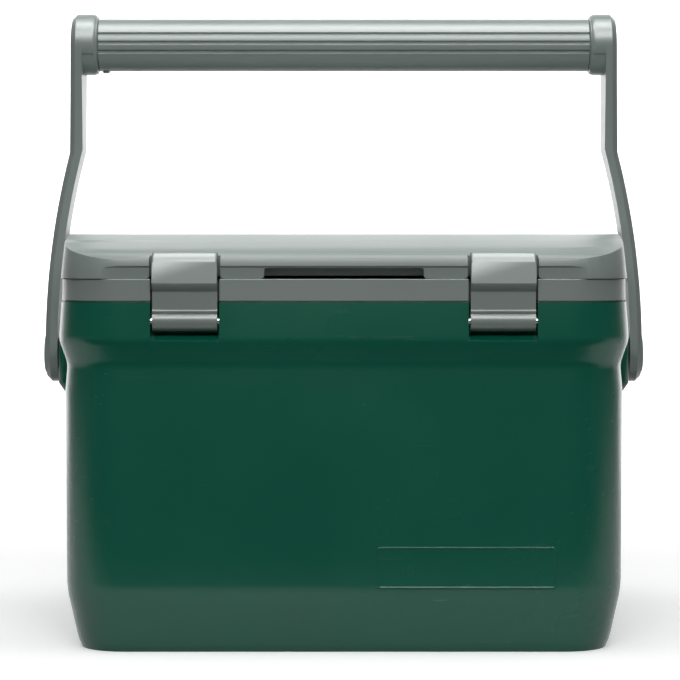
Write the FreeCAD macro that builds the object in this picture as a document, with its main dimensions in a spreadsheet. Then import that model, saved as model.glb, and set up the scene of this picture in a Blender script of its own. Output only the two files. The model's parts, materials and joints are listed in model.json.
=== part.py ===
"""Picnic cooler chest with a crowned lid, two latches and a bail handle (millimetres).

Origin at the centre of the base, +Z up, +X to the right, the front faces -Y.
Every ring of the chest is a parallel offset of the collar's plan, a rounded rectangle, so a ring is given
by its half-width and its height alone.
"""
import FreeCAD, Part
import math
import os
import Sketcher

DIMENSIONS = [
    # plan of the chest
    ("depth_inset", 48.1),
    ("collar_half_width", 188.7),
    ("corner_radius", 45.0),
    ("shell_wall", 2.5),
    # body rings
    ("foot_half_width", 174.0),
    ("heel_half_width", 176.7),
    ("heel_height", 6.0),
    ("tub_low_half_width", 184.0),
    ("tub_low_height", 39.0),
    ("tub_high_half_width", 184.6),
    ("tub_high_height", 170.0),
    ("waist_half_width", 183.1),
    ("waist_height", 188.0),
    ("collar_low_height", 203.6),
    ("collar_top_half_width", 186.9),
    ("collar_top_height", 228.8),
    ("rim_low_half_width", 186.5),
    ("rim_gap", 0.9),
    ("rim_gap_depth", 3.0),
    ("rim_top_half_width", 186.2),
    ("rim_top_height", 243.0),
    # liner
    ("cavity_half_width", 160.1),
    ("floor_half_width", 155.1),
    ("floor_height", 26.0),
    ("liner_wall", 2.0),
    # lid
    ("lid_low_half_width", 187.4),
    ("lid_low_height", 244.2),
    ("lid_high_half_width", 183.8),
    ("lid_high_height", 276.0),
    ("crown_height", 273.5),
    ("crown_flat", 75.0),
    ("crown_radius", 700.0),
    ("crown_reach", 160.0),
    ("crown_edge", 249.4),
    ("groove_low_height", 249.7),
    ("groove_high_height", 251.7),
    ("groove_depth", 2.0),
    ("panel_wall", 2.5),
    ("plug_half_width", 157.6),
    ("plug_depth", 12.0),
    ("gasket_inner", 163.6),
    ("gasket_outer", 171.1),
    ("gasket_gap", 0.05),
    # finger slot
    ("slot_half_width", 51.6),
    ("slot_height", 7.0),
    ("slot_depth", 12.0),
    # latches
    ("latch_spacing", 103.0),
    ("latch_width", 42.0),
    ("recess_width", 44.7),
    ("recess_back", 126.5),
    ("recess_floor_back", 209.0),
    ("recess_floor_front", 204.0),
    ("barrel_depth", 134.5),
    ("barrel_height", 216.8),
    ("barrel_radius", 6.45),
    ("latch_pin_radius", 2.0),
    ("lever_front", 4.1),
    ("lever_back", 0.9),
    ("lip_reach", 11.0),
    ("lip_root", 19.5),
    ("lip_edge", 24.1),
    ("brow_reach", 8.6),
    ("brow_height", 39.0),
    ("hook_reach", 5.5),
    ("hook_thickness", 4.0),
    ("latch_height", 44.2),
    ("running_gap", 0.06),
    ("lid_notch_back", 130.0),
    ("lid_notch_width", 45.8),
    ("hook_gap", 0.3),
    # handle
    ("pivot_height", 190.6),
    ("boss_face", 197.5),
    ("boss_half_depth", 26.0),
    ("boss_drop", 42.0),
    ("boss_shoulder", 9.0),
    ("hub_inner", 198.5),
    ("hub_outer", 207.2),
    ("hub_radius", 19.6),
    ("cap_thickness", 1.4),
    ("arm_bow_radius", 510.0),
    ("arm_bow_start", 200.0),
    ("arm_bend_outer", 190.2),
    ("arm_top_outer", 188.4),
    ("arm_top_inner", 181.0),
    ("arm_waist_radius", 796.0),
    ("grip_height", 405.5),
    ("grip_radius", 18.2),
    ("grip_half_length", 170.0),
    ("grip_groove_radius", 1.2),
    ("core_radius", 8.0),
    ("core_wall", 1.5),
    ("core_half_length", 185.5),
    ("end_radius", 21.6),
    ("bolt_radius", 5.0),
    ("bolt_head_radius", 9.0),
    ("bolt_head_height", 2.2),
    ("bolt_head_gap", 0.2),
    ("insert_length", 10.0),
    ("washer_radius", 9.0),
    ("bolt_head_seat", 204.2),
    ("bolt_inner", 184.2),
    ("bush_radius", 7.0),
    # rear hinges
    ("hinge_depth", 144.6),
    ("hinge_height", 240.0),
    ("hinge_spacing", 95.0),
    ("hinge_half_length", 30.0),
    ("knuckle_radius", 3.6),
    ("hinge_pin_radius", 1.6),
    ("leaf_thickness", 2.3),
    ("screw_head_radius", 3.0),
    ("screw_radius", 1.6),
    ("screw_head_height", 1.2),
    ("screw_reach", 8.0),
    ("knuckle_gap", 0.3),
    # grip screw
    ("grip_screw_inset", 4.5),
    ("grip_screw_radius", 1.5),
    ("grip_screw_head_radius", 2.6),
    ("grip_screw_head_height", 2.4),
    ("grip_screw_proud", 1.4),
    # blank badge
    ("badge_left", 21.5),
    ("badge_right", 138.0),
    ("badge_low", 43.0),
    ("badge_high", 70.0),
    ("badge_face", 137.0),
    ("badge_depth", 1.7),
    ("badge_corner", 2.5),
]

GROOVE_ANGLES = (22.4, 1.3, -16.9)   # grip grooves, degrees above the level line
WAIST_TURN = 7.5                     # where an arm's waisted sides leave its round ends, degrees from level
FAR = 320.0                          # beyond every piece, for cutting tools

doc = FreeCAD.newDocument("cooler")
sheet = doc.addObject("Spreadsheet::Sheet", "Sizes")
for row, (alias, number) in enumerate(DIMENSIONS, start=1):
    sheet.set("A%d" % row, alias)
    sheet.set("B%d" % row, str(number))
    sheet.setAlias("B%d" % row, alias)
doc.recompute()

ALIASES = sorted((alias for alias, number in DIMENSIONS), key=len, reverse=True)
finished = []


# ---------------------------------------------------------------- helpers
def bound(text):
    """Turns 'wall + 2' into an expression on the sheet, 'Sizes.wall + 2'."""
    words, word = [], ""
    for letter in str(text) + " ":
        if letter.isalnum() or letter == "_":
            word += letter
            continue
        words.append("Sizes." + word if word in ALIASES else word)
        words.append(letter)
        word = ""
    return "".join(words).strip()


def size(text):
    """The number that an expression on the sheet gives."""
    return float(sheet.evalExpression(bound(text)))


def drive(thing, name, text):
    """Binds one property of a feature to the sheet."""
    thing.setExpression(name, bound(text))


def place(thing, x="0", y="0", z="0"):
    """Binds a feature's position to the sheet."""
    drive(thing, "Placement.Base.x", x)
    drive(thing, "Placement.Base.y", y)
    drive(thing, "Placement.Base.z", z)


def keep(thing, label):
    """Names a finished sub-part; the label is its file's name."""
    thing.Label = label
    finished.append(thing)
    return thing


def box(name, low, high):
    """A block between two corners."""
    block = doc.addObject("Part::Box", name)
    for side, start, end in zip(("Length", "Width", "Height"), low, high):
        drive(block, side, "(%s) - (%s)" % (end, start))
    place(block, *low)
    return block


def rod(name, axis, start, length, radius, y="0", z="0", x="0"):
    """A cylinder along X, Y or Z; start is where it begins on its own axis."""
    cylinder = doc.addObject("Part::Cylinder", name)
    drive(cylinder, "Radius", radius)
    drive(cylinder, "Height", length)
    turn = {
        "X": FreeCAD.Rotation(FreeCAD.Vector(0, 1, 0), 90),
        "Y": FreeCAD.Rotation(FreeCAD.Vector(1, 0, 0), -90),
        "Z": FreeCAD.Rotation(),
    }[axis]
    cylinder.Placement = FreeCAD.Placement(FreeCAD.Vector(), turn)
    where = {"X": (start, y, z), "Y": (x, start, z), "Z": (x, y, start)}[axis]
    place(cylinder, *where)
    return cylinder


def fuse(name, pieces):
    joined = doc.addObject("Part::MultiFuse", name)
    joined.Shapes = pieces
    joined.Refine = True
    return joined


def group(name, pieces):
    """Separate solids kept in one sub-part, such as a set of screws."""
    bundle = doc.addObject("Part::Compound", name)
    bundle.Links = pieces
    return bundle


def cut(name, base, *tools):
    """The base with each tool taken away."""
    left = base
    for count, tool in enumerate(tools, start=1):
        step = doc.addObject("Part::Cut", name if count == len(tools) else "%s_%d" % (name, count))
        step.Base = left
        step.Tool = tool
        left = step
    return left


def common(name, base, tool):
    shared = doc.addObject("Part::Common", name)
    shared.Base = base
    shared.Tool = tool
    return shared


def mirrored(name, source):
    """The same piece on the other side of the chest."""
    other = doc.addObject("Part::Mirroring", name)
    other.Source = source
    other.Normal = FreeCAD.Vector(1, 0, 0)
    other.Base = FreeCAD.Vector(0, 0, 0)
    return other


def both_sides(stem, source):
    """Keeps a piece of the right side, and its mirror image on the left."""
    keep(source, stem + "_right")
    keep(mirrored(stem + "_mirror", source), stem + "_left")


def origin_plane(body, role):
    return next(item for item in body.Origin.OriginFeatures if item.Role == role)


def new_sketch(body, name, role, offset="0"):
    sketch = body.newObject("Sketcher::SketchObject", name)
    sketch.AttachmentSupport = (origin_plane(body, role), "")
    sketch.MapMode = "FlatFace"
    drive(sketch, "AttachmentOffset.Base.z", offset)
    return sketch


def ring_sketch(body, name, half_width, height):
    """One ring of the chest: a rounded rectangle, level, centred on the Z axis."""
    radius_text = "corner_radius - collar_half_width + (%s)" % half_width
    across_text = "2 * (collar_half_width - corner_radius)"
    along_text = "2 * (collar_half_width - corner_radius - depth_inset)"
    radius = size(radius_text)
    x, y = size(across_text) / 2, size(along_text) / 2
    sketch = new_sketch(body, name, "XY_Plane", height)
    corners = [(x, -y, -90), (x, y, 0), (-x, y, 90), (-x, -y, 180)]
    for at, (cx, cy, start) in enumerate(corners):
        circle = Part.Circle(FreeCAD.Vector(cx, cy, 0), FreeCAD.Vector(0, 0, 1), radius)
        begin = math.radians(start)
        sketch.addGeometry(Part.ArcOfCircle(circle, begin, begin + math.pi / 2))
    for at in range(4):
        end = sketch.getPoint(at, 2)
        start = sketch.getPoint((at + 1) % 4, 1)
        sketch.addGeometry(Part.LineSegment(end, start))
    for at in range(4):
        sketch.addConstraint(Sketcher.Constraint("Tangent", at, 2, 4 + at, 1))
        sketch.addConstraint(Sketcher.Constraint("Tangent", 4 + at, 2, (at + 1) % 4, 1))
        direction = "Vertical" if at in (0, 2) else "Horizontal"
        sketch.addConstraint(Sketcher.Constraint(direction, 4 + at))
    for at in (1, 2, 3):
        sketch.addConstraint(Sketcher.Constraint("Equal", 0, at))
    sketch.addConstraint(Sketcher.Constraint("Symmetric", 0, 3, 2, 3, -1, 1))
    named = [
        ("corner", Sketcher.Constraint("Radius", 0, radius), radius_text),
        ("across", Sketcher.Constraint("DistanceX", 3, 3, 0, 3, 2 * x), across_text),
        ("along", Sketcher.Constraint("DistanceY", 0, 3, 1, 3, 2 * y), along_text),
    ]
    for label, rule, text in named:
        sketch.renameConstraint(sketch.addConstraint(rule), label)
        drive(sketch, "Constraints." + label, text)
    return sketch


def ring_block(name, levels):
    """A solid through rings given as (half-width, height), with straight sides between them."""
    body = doc.addObject("PartDesign::Body", name)
    rings = [
        ring_sketch(body, "%s_ring_%d" % (name, at), half_width, height)
        for at, (half_width, height) in enumerate(levels)
    ]
    loft = body.newObject("PartDesign::AdditiveLoft", name + "_loft")
    loft.Profile = rings[0]
    loft.Sections = rings[1:]
    loft.Ruled = True
    return body


def outline(sketch, corners):
    """A closed outline of corners (x, y) or (x, y, radius), each held by the sheet.

    A radius bends the side that starts at its corner: positive bulges to the right of the way round.
    """
    points = [FreeCAD.Vector(size(corner[0]), size(corner[1]), 0) for corner in corners]
    heads = []
    for at, corner in enumerate(corners):
        start, end = points[at], points[(at + 1) % len(points)]
        if len(corner) == 2:
            sketch.addGeometry(Part.LineSegment(start, end))
        else:
            radius = size(corner[2])
            chord = end - start
            side = FreeCAD.Vector(chord.y, -chord.x, 0).normalize()
            rise = abs(radius) - math.sqrt(radius ** 2 - (chord.Length / 2) ** 2)
            middle = (start + end) * 0.5 + side * math.copysign(rise, radius)
            sketch.addGeometry(Part.Arc(start, middle, end))
        heads.append(1 if (sketch.getPoint(at, 1) - start).Length < 1e-6 else 2)
    for at, corner in enumerate(corners):
        before = at - 1 if at else len(corners) - 1
        sketch.addConstraint(Sketcher.Constraint("Coincident", before, 3 - heads[before], at, heads[at]))
        for direction, text in (("DistanceX", corner[0]), ("DistanceY", corner[1])):
            value = size(text)
            rule = Sketcher.Constraint(direction, at, heads[at], value)
            label = "%s_%d" % (direction[-1].lower(), at)
            sketch.renameConstraint(sketch.addConstraint(rule), label)
            drive(sketch, "Constraints." + label, text)
        if len(corner) == 3:
            label = "bend_%d" % at
            rule = Sketcher.Constraint("Radius", at, abs(size(corner[2])))
            sketch.renameConstraint(sketch.addConstraint(rule), label)
            drive(sketch, "Constraints." + label, "abs(%s)" % corner[2])


def slab(name, role, corners, thickness):
    """An outline padded the same distance to both sides of its plane."""
    body = doc.addObject("PartDesign::Body", name)
    sketch = new_sketch(body, name + "_outline", role)
    outline(sketch, corners)
    pad = body.newObject("PartDesign::Pad", name + "_pad")
    pad.Profile = sketch
    pad.Midplane = True
    drive(pad, "Length", thickness)
    return body


# ---------------------------------------------------------------- forms shared by several pieces
def tub_levels(inset="0"):
    """The body's rings from the foot to the top of the collar, moved inwards by a wall."""
    rings = [
        ("foot_half_width", "0"),
        ("heel_half_width", "heel_height"),
        ("tub_low_half_width", "tub_low_height"),
        ("tub_high_half_width", "tub_high_height"),
        ("waist_half_width", "waist_height"),
        ("collar_half_width", "collar_low_height"),
        ("collar_top_half_width", "collar_top_height"),
    ]
    return [("%s - (%s)" % (width, inset), height) for width, height in rings]


tub_form = ring_block("tub_form", tub_levels())
core_levels = tub_levels("shell_wall")
core_levels[0] = (core_levels[0][0], "shell_wall")
tub_core = ring_block("tub_core", core_levels)

liner_form = ring_block("liner_form", [
    ("floor_half_width + liner_wall", "floor_height - liner_wall"),
    ("cavity_half_width + liner_wall", "rim_top_height"),
])
cavity_form = ring_block("cavity_form", [
    ("floor_half_width", "floor_height"),
    ("cavity_half_width", "rim_top_height"),
])


def crown(name, inset="0"):
    """The lid's side view: level on top, falling in a long curve towards the front and the back."""
    return slab(name, "YZ_Plane", [
        ("-crown_reach", "rim_top_height"),
        ("crown_reach", "rim_top_height"),
        ("crown_reach", "crown_edge - (%s)" % inset, "crown_radius"),
        ("crown_flat", "crown_height - (%s)" % inset),
        ("-crown_flat", "crown_height - (%s)" % inset, "crown_radius"),
        ("-crown_reach", "crown_edge - (%s)" % inset),
    ], 2 * FAR)


lid_plan = ring_block("lid_plan", [
    ("lid_low_half_width", "lid_low_height"),
    ("lid_high_half_width", "lid_high_height"),
])
lid_form = common("lid_form", lid_plan, crown("crown_outside"))
lid_core_plan = ring_block("lid_core_plan", [
    ("lid_low_half_width - shell_wall", "lid_low_height"),
    ("lid_high_half_width - shell_wall", "lid_high_height"),
])
lid_core = common("lid_core", lid_core_plan, crown("crown_inside", "shell_wall"))


def latch_recess(side):
    """The space that a latch lies in: a slot with a floor that falls towards the front."""
    recess = slab("latch_recess", "YZ_Plane", [
        ("-%s" % FAR, "recess_floor_front"),
        ("depth_inset - collar_half_width", "recess_floor_front"),
        ("-recess_back", "recess_floor_back"),
        ("-recess_back", "lid_low_height"),
        ("-%s" % FAR, "lid_low_height"),
    ], "recess_width")
    place(recess, "%d * latch_spacing" % side)
    return recess


def latch_backing(side):
    """The moulded wall behind and beside a latch recess."""
    middle = "%d * latch_spacing" % side
    half = "recess_width / 2 + shell_wall"
    return box("latch_backing", (
        "%s - (%s)" % (middle, half), "-%s" % FAR, "recess_floor_front - 2 * shell_wall",
    ), (
        "%s + %s" % (middle, half), "shell_wall - recess_back", "collar_top_height",
    ))


recesses = fuse("latch_recess_pair", [latch_recess(-1), latch_recess(1)])
backings = fuse("latch_backing_pair", [latch_backing(-1), latch_backing(1)])


# ---------------------------------------------------------------- body
def latch_pin(side):
    overhang = 2.0
    length = "recess_width + %s" % (2 * overhang)
    start = "%d * latch_spacing - (%s) / 2" % (side, length)
    return rod("latch_pin", "X", start, length, "latch_pin_radius", y="-barrel_depth", z="barrel_height")


latch_pins = {side: latch_pin(side) for side in (-1, 1)}
keep(latch_pins[-1], "latch_pin_left")
keep(latch_pins[1], "latch_pin_right")


def pivot_boss():
    """The wedge on the body's right side that carries the handle's shoulder bolt."""
    root = "waist_half_width - 2 * shell_wall"
    return slab("pivot_boss", "XZ_Plane", [
        (root, "pivot_height - boss_drop"),
        ("tub_high_half_width", "pivot_height - boss_drop"),
        ("boss_face", "pivot_height - hub_radius"),
        ("boss_face", "collar_low_height"),
        ("collar_half_width", "collar_low_height + boss_shoulder"),
        (root, "collar_low_height + boss_shoulder"),
    ], "2 * boss_half_depth")


boss_right = pivot_boss()
boss_left = mirrored("boss_left", boss_right)
bosses = fuse("bosses", [boss_right, boss_left])

head_start = "bolt_head_seat + bolt_head_gap"
bolt_shank = rod("bolt_shank", "X", "bolt_inner", head_start + " - bolt_inner", "bolt_radius",
                 z="pivot_height")
bolt_head = rod("bolt_head", "X", head_start, "bolt_head_height", "bolt_head_radius", z="pivot_height")
shoulder_bolt = fuse("shoulder_bolt", [bolt_shank, bolt_head])
insert_form = rod("insert_form", "X", "bolt_inner", "insert_length", "bush_radius", z="pivot_height")
insert = cut("insert", insert_form, bolt_shank)
bolt_left = mirrored("bolt_left", shoulder_bolt)
insert_form_left = mirrored("insert_form_left", insert_form)

badge_block = box("badge_block", ("badge_left", "-badge_face", "badge_low"),
                  ("badge_right", "badge_depth - badge_face", "badge_high"))
badge = doc.addObject("Part::Fillet", "badge")
badge.Base = badge_block
doc.recompute()
badge.Edges = [
    (at, size("badge_corner"), size("badge_corner"))
    for at, edge in enumerate(badge_block.Shape.Edges, start=1)
    if abs(edge.Vertexes[0].Y - edge.Vertexes[1].Y) > size("badge_depth") / 2
]
keep(badge, "blank_badge")

shell_walls = cut("shell_walls", tub_form, tub_core)
backing_walls = common("backing_walls", backings, tub_form)
boss_walls = cut("boss_walls", bosses, tub_core)
shell_solid = fuse("shell_solid", [shell_walls, backing_walls, boss_walls])
outer_shell = cut("outer_shell", shell_solid, recesses, latch_pins[-1], latch_pins[1],
                  shoulder_bolt, bolt_left, insert_form, insert_form_left, badge)
keep(outer_shell, "outer_shell")
keep(cut("body_foam", tub_core, liner_form, backings), "body_foam")
keep(cut("inner_liner", liner_form, cavity_form), "inner_liner")

both_sides("shoulder_bolt", shoulder_bolt)
both_sides("threaded_insert", insert)
washer_form = rod("washer_form", "X", "boss_face", "hub_inner - boss_face - running_gap", "washer_radius",
                  z="pivot_height")
both_sides("thrust_washer", cut("washer", washer_form, bolt_shank))

rim_band_form = ring_block("rim_band_form", [
    ("rim_low_half_width", "collar_top_height + rim_gap"),
    ("rim_top_half_width", "rim_top_height"),
])
rim_foot = ring_block("rim_foot", [
    ("rim_low_half_width - rim_gap_depth", "collar_top_height"),
    ("rim_low_half_width - rim_gap_depth", "collar_top_height + rim_gap"),
])
rim_solid = fuse("rim_solid", [rim_band_form, rim_foot])


# ---------------------------------------------------------------- rear hinges
HINGE_CENTRES = ("-hinge_spacing", "hinge_spacing")
KNUCKLE_THIRD = "hinge_half_length / 3"


def hinge_screws(stem, face, height):
    """Two pan-head screws for each hinge leaf, in one sub-part."""
    pieces = []
    for centre in HINGE_CENTRES:
        for side in (-1, 1):
            x = "%s + %d * hinge_half_length * 2 / 3" % (centre, side)
            head = rod(stem + "_head", "Y", face, "screw_head_height", "screw_head_radius", x=x, z=height)
            shank = rod(stem + "_shank", "Y", face + " - screw_reach", "screw_reach", "screw_radius",
                        x=x, z=height)
            pieces.append(fuse(stem + "_screw", [head, shank]))
    return group(stem, pieces)


def knuckle(name, centre, low, high):
    return rod(name, "X", "%s + %s" % (centre, low), "(%s) - (%s)" % (high, low), "knuckle_radius",
               y="hinge_depth", z="hinge_height")


def hinge_pin(centre):
    return rod("hinge_pin", "X", "%s - hinge_half_length" % centre, "2 * hinge_half_length",
               "hinge_pin_radius", y="hinge_depth", z="hinge_height")


def body_leaf(centre, pin, screws):
    """A plate on the rim band's back with two outer knuckles."""
    low, high = "%s - hinge_half_length" % centre, "%s + hinge_half_length" % centre
    face = "rim_low_half_width - depth_inset + leaf_thickness"
    plate = box("plate", (low, "rim_low_half_width - depth_inset - 3", "rim_top_height - 12.5"),
                (high, face, "rim_top_height - 2"))
    seated = cut("seated_plate", plate, rim_solid)
    pieces = [seated]
    for start, end in (("-hinge_half_length", "-" + KNUCKLE_THIRD), (KNUCKLE_THIRD, "hinge_half_length")):
        pieces.append(knuckle("outer_knuckle", centre, start, end))
        pieces.append(box("web", ("%s + %s" % (centre, start), "rim_low_half_width - depth_inset + 1",
                                  "hinge_height - knuckle_radius"),
                          ("%s + %s" % (centre, end), "hinge_depth", "hinge_height")))
    return cut("body_leaf", fuse("leaf_solid", pieces), pin, screws)


def lid_leaf(centre, screws):
    """A plate on the lid's back with the middle knuckle, bored to run on the pin."""
    low, high = "%s - hinge_half_length" % centre, "%s + hinge_half_length" % centre
    face = "lid_low_half_width - depth_inset + leaf_thickness"
    plate = box("lid_plate", (low, "lid_low_half_width - depth_inset - 4", "lid_low_height + 1.5"),
                (high, face, "lid_low_height + 11.8"))
    seated = cut("seated_lid_plate", plate, lid_form)
    third = KNUCKLE_THIRD + " - knuckle_gap"
    middle = knuckle("middle_knuckle", centre, "-(%s)" % third, third)
    behind = "rim_low_half_width - depth_inset + leaf_thickness + knuckle_gap"
    web = box("lid_web", ("%s - (%s)" % (centre, third), behind, "hinge_height"),
              ("%s + %s" % (centre, third), "hinge_depth", "lid_low_height + 6"))
    bore = rod("lid_knuckle_bore", "X", "%s - hinge_half_length" % centre, "2 * hinge_half_length",
               "hinge_pin_radius + running_gap", y="hinge_depth", z="hinge_height")
    return cut("lid_leaf", fuse("lid_leaf_solid", [seated, middle, web]), bore, screws)


body_screws = hinge_screws("hinge_screws_body", "rim_low_half_width - depth_inset + leaf_thickness",
                           "rim_top_height - 9.5")
lid_screws = hinge_screws("hinge_screws_lid", "lid_low_half_width - depth_inset + leaf_thickness",
                          "lid_low_height + 8")
keep(body_screws, "hinge_screws_body")
keep(lid_screws, "hinge_screws_lid")
for centre, side in zip(HINGE_CENTRES, ("left", "right")):
    pin = hinge_pin(centre)
    keep(pin, "hinge_pin_" + side)
    keep(body_leaf(centre, pin, body_screws), "hinge_leaf_body_" + side)
    keep(lid_leaf(centre, lid_screws), "hinge_leaf_lid_" + side)
keep(cut("rim_band", rim_solid, liner_form, recesses, body_screws), "rim_band")


# ---------------------------------------------------------------- lid
def lid_notch(side, extra="0"):
    """The gap in the lid's front edge that a latch passes through, with its wall when extra is given."""
    middle = "%d * latch_spacing" % side
    half = "lid_notch_width / 2 + %s" % extra
    return box("lid_notch", ("%s - (%s)" % (middle, half), "-%s" % FAR, "lid_low_height - 5"),
               ("%s + %s" % (middle, half), "%s - lid_notch_back" % extra, "lid_high_height"))


def finger_slot(extra="0"):
    """The grip under the middle of the lid's front edge."""
    return box("finger_slot", (
        "-slot_half_width - (%s)" % extra, "-%s" % FAR, "lid_low_height - 5",
    ), (
        "slot_half_width + (%s)" % extra,
        "depth_inset - lid_low_half_width + slot_depth + (%s)" % extra,
        "lid_low_height + slot_height + (%s)" % extra,
    ))


notches = fuse("lid_notches", [lid_notch(-1), lid_notch(1), finger_slot()])
notch_walls = fuse("notch_walls", [
    lid_notch(-1, "shell_wall"), lid_notch(1, "shell_wall"), finger_slot("shell_wall"),
])
groove_space = box("groove_space", ("-%s" % FAR, "-%s" % FAR, "groove_low_height"),
                   (FAR, FAR, "groove_high_height"))
groove_floor = ring_block("groove_floor", [
    ("lid_low_half_width - groove_depth", "groove_low_height - 1"),
    ("lid_low_half_width - groove_depth", "groove_high_height + 1"),
])
groove = cut("groove", groove_space, groove_floor)
lid_walls = cut("lid_walls", lid_form, lid_core)
lid_local_walls = common("lid_local_walls", notch_walls, lid_form)
lid_solid = fuse("lid_solid", [lid_walls, lid_local_walls])
keep(cut("lid_outer", lid_solid, notches, groove, lid_screws), "lid_outer")

panel_form = ring_block("panel_form", [
    ("lid_low_half_width - shell_wall", "lid_low_height"),
    ("lid_low_half_width - shell_wall - 0.3", "lid_low_height + panel_wall"),
])
plug_form = ring_block("plug_form", [
    ("plug_half_width - 1", "lid_low_height - plug_depth"),
    ("plug_half_width", "lid_low_height + 0.1"),
])
plug_hollow = ring_block("plug_hollow", [
    ("plug_half_width - 1 - panel_wall", "lid_low_height - plug_depth + panel_wall"),
    ("plug_half_width - panel_wall", "lid_low_height + panel_wall + 1"),
])
panel_plate = common("panel_plate", panel_form, lid_core)
panel_solid = fuse("panel_solid", [panel_plate, plug_form])
inner_panel = cut("inner_panel", panel_solid, plug_hollow, notch_walls, lid_screws)
keep(inner_panel, "lid_inner_panel")
foam_space = fuse("foam_space", [lid_core, plug_form])
keep(cut("lid_foam_block", foam_space, inner_panel, notch_walls, lid_screws), "lid_foam")

gasket_form = ring_block("gasket_form", [
    ("gasket_outer", "rim_top_height + gasket_gap"),
    ("gasket_outer", "lid_low_height"),
])
gasket_hole = ring_block("gasket_hole", [
    ("gasket_inner", "rim_top_height"),
    ("gasket_inner", "lid_low_height + 1"),
])
keep(cut("lid_gasket", gasket_form, gasket_hole), "lid_gasket")


# ---------------------------------------------------------------- latches
def latch(side):
    """A lever with a barrel on its pin, a finger lip under its face and a flat hook over the lid."""
    lever = slab("lever", "YZ_Plane", [
        ("-barrel_depth - lever_front", "barrel_height"),
        ("-barrel_depth - lever_front", "barrel_height + lip_root"),
        ("-barrel_depth - lip_reach", "barrel_height + lip_edge"),
        ("-barrel_depth - brow_reach", "barrel_height + brow_height"),
        ("-barrel_depth - hook_reach", "barrel_height + latch_height"),
        ("-lid_notch_back - hook_gap", "barrel_height + latch_height"),
        ("-lid_notch_back - hook_gap", "barrel_height + latch_height - hook_thickness"),
        ("-barrel_depth + lever_back", "barrel_height + latch_height - hook_thickness"),
        ("-barrel_depth + lever_back", "barrel_height"),
    ], "latch_width")
    middle = "%d * latch_spacing" % side
    place(lever, middle)
    start = "%s - latch_width / 2" % middle
    barrel = rod("barrel", "X", start, "latch_width", "barrel_radius", y="-barrel_depth", z="barrel_height")
    bore = rod("barrel_bore", "X", start, "latch_width", "latch_pin_radius + running_gap",
               y="-barrel_depth", z="barrel_height")
    return cut("latch", fuse("latch_solid", [lever, barrel]), bore)


keep(latch(-1), "latch_left")
keep(latch(1), "latch_right")


# ---------------------------------------------------------------- handle
def arm():
    """The right arm: bowed out round the chest in front view, waisted in side view."""
    bow = "arm_bow_start + sqrt(pow(arm_bow_radius; 2) - pow(%s - %s + arm_bow_radius; 2))"
    bend = bow % ("arm_bend_outer", "hub_outer")
    inner_bend = bow % ("arm_top_inner", "hub_inner")
    top = "grip_height + end_radius + 1"
    low = "pivot_height - hub_radius - 1"
    front = slab("arm_front_view", "XZ_Plane", [
        ("hub_outer", low),
        ("hub_outer", "arm_bow_start", "arm_bow_radius"),
        ("arm_bend_outer", bend),
        ("arm_top_outer", top),
        ("arm_top_inner", top),
        ("arm_top_inner", inner_bend, "-arm_bow_radius"),
        ("hub_inner", "arm_bow_start"),
        ("hub_inner", low),
    ], "4 * end_radius")
    hub_side, hub_rise = ["hub_radius * %s(%s)" % (part, WAIST_TURN) for part in ("cos", "sin")]
    end_side, end_drop = ["end_radius * %s(%s)" % (part, WAIST_TURN) for part in ("cos", "sin")]
    side = slab("arm_side_view", "YZ_Plane", [
        ("0", "pivot_height - hub_radius", "hub_radius"),
        (hub_side, "pivot_height + " + hub_rise, "-arm_waist_radius"),
        (end_side, "grip_height - " + end_drop, "end_radius"),
        ("0", "grip_height + end_radius", "end_radius"),
        ("-" + end_side, "grip_height - " + end_drop, "-arm_waist_radius"),
        ("-" + hub_side, "pivot_height + " + hub_rise, "hub_radius"),
    ], "4 * hub_outer")
    solid = common("arm_solid", front, side)
    bush_hole = rod("bush_hole", "X", "hub_inner - 1", "hub_outer - hub_inner + 2", "bush_radius",
                    z="pivot_height")
    head_hole = rod("head_hole", "X", "bolt_head_seat", "hub_outer", "bolt_head_radius + 0.4",
                    z="pivot_height")
    return cut("arm", solid, bush_hole, head_hole, core_tube_form)


core_tube_form = rod("core_tube_form", "X", "-core_half_length", "2 * core_half_length", "core_radius",
                     z="grip_height")
core_bore = rod("core_bore", "X", "-core_half_length", "2 * core_half_length", "core_radius - core_wall",
                z="grip_height")
keep(cut("core_tube", core_tube_form, core_bore), "grip_core_tube")
both_sides("handle_arm", arm())

bush_form = rod("bush_form", "X", "hub_inner", "bolt_head_seat - hub_inner", "bush_radius",
                z="pivot_height")
bush_bore = rod("bush_bore", "X", "hub_inner", "bolt_head_seat - hub_inner",
                "bolt_radius + running_gap", z="pivot_height")
both_sides("pivot_bush", cut("bush", bush_form, bush_bore))
both_sides("hub_cap", rod("cap", "X", "hub_outer", "cap_thickness", "hub_radius - 1.4", z="pivot_height"))

collar_form = rod("collar_form", "X", "grip_half_length", "arm_top_inner - grip_half_length", "end_radius",
                  z="grip_height")
both_sides("grip_collar", cut("grip_collar", collar_form, core_tube_form))


def grip_sleeve(screw):
    """The hand grip: a sleeve with three finger grooves along its front and three along its back."""
    sleeve = rod("sleeve", "X", "-grip_half_length", "2 * grip_half_length", "grip_radius", z="grip_height")
    grooves = []
    for facing in (-1, 1):
        for angle in GROOVE_ANGLES:
            grooves.append(rod(
                "grip_groove", "X", "-grip_half_length", "2 * grip_half_length", "grip_groove_radius",
                y="%d * grip_radius * cos(%s)" % (facing, angle),
                z="grip_height + grip_radius * sin(%s)" % angle))
    return cut("grip", sleeve, core_tube_form, fuse("grip_grooves", grooves), screw)


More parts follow.
